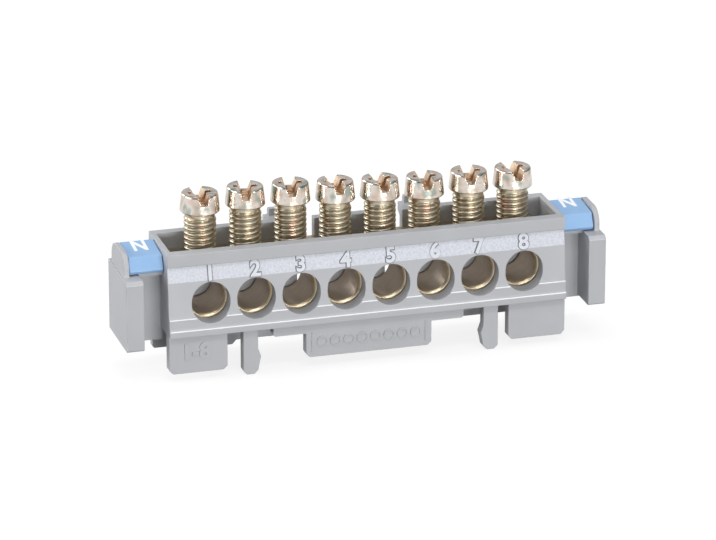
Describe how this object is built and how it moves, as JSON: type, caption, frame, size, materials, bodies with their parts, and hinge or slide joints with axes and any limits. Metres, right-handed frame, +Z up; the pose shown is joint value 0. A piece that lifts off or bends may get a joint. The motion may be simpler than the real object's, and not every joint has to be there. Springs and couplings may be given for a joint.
{
  "type": "neutral terminal bar",
  "caption": "Brass terminal bar with clamping screws in a grey clip-on housing with wire entries, clip legs and a blue marker at each end.",
  "frame": {"origin": "middle of the flat underside that sits on the support rail, right below the row of screws", "axes": "+X along the row of terminals, -Y out of the wire entries, +Z up along the screws"},
  "size_m": [0.075, 0.0152, 0.0278],
  "materials": {
    "housing_plastic": "moulded matte",
    "brass": "drawn and machined",
    "screw_steel": "yellow zinc plated",
    "marker_plastic": "moulded satin"
  },
  "bodies": {
    "block": {"housing": "housing_plastic", "terminal_bar": "brass", "marker_left": "marker_plastic", "marker_right": "marker_plastic"},
    "clamp_1": {"screw_1": "screw_steel"},
    "clamp_2": {"screw_2": "screw_steel"},
    "clamp_3": {"screw_3": "screw_steel"},
    "clamp_4": {"screw_4": "screw_steel"},
    "clamp_5": {"screw_5": "screw_steel"},
    "clamp_6": {"screw_6": "screw_steel"},
    "clamp_7": {"screw_7": "screw_steel"},
    "clamp_8": {"screw_8": "screw_steel"}
  },
  "joints": [
    {"name": "clamp_1_travel", "type": "slide", "parent": "block", "child": "clamp_1", "axis": [0, 0, 1], "range_m": [-0.0047, 0]},
    {"name": "clamp_2_travel", "type": "slide", "parent": "block", "child": "clamp_2", "axis": [0, 0, 1], "range_m": [-0.005, 0]},
    {"name": "clamp_3_travel", "type": "slide", "parent": "block", "child": "clamp_3", "axis": [0, 0, 1], "range_m": [-0.0049, 0]},
    {"name": "clamp_4_travel", "type": "slide", "parent": "block", "child": "clamp_4", "axis": [0, 0, 1], "range_m": [-0.0045, 0]},
    {"name": "clamp_5_travel", "type": "slide", "parent": "block", "child": "clamp_5", "axis": [0, 0, 1], "range_m": [-0.0042, 0]},
    {"name": "clamp_6_travel", "type": "slide", "parent": "block", "child": "clamp_6", "axis": [0, 0, 1], "range_m": [-0.0039, 0]},
    {"name": "clamp_7_travel", "type": "slide", "parent": "block", "child": "clamp_7", "axis": [0, 0, 1], "range_m": [-0.0041, 0]},
    {"name": "clamp_8_travel", "type": "slide", "parent": "block", "child": "clamp_8", "axis": [0, 0, 1], "range_m": [-0.004, 0]}
  ]
}
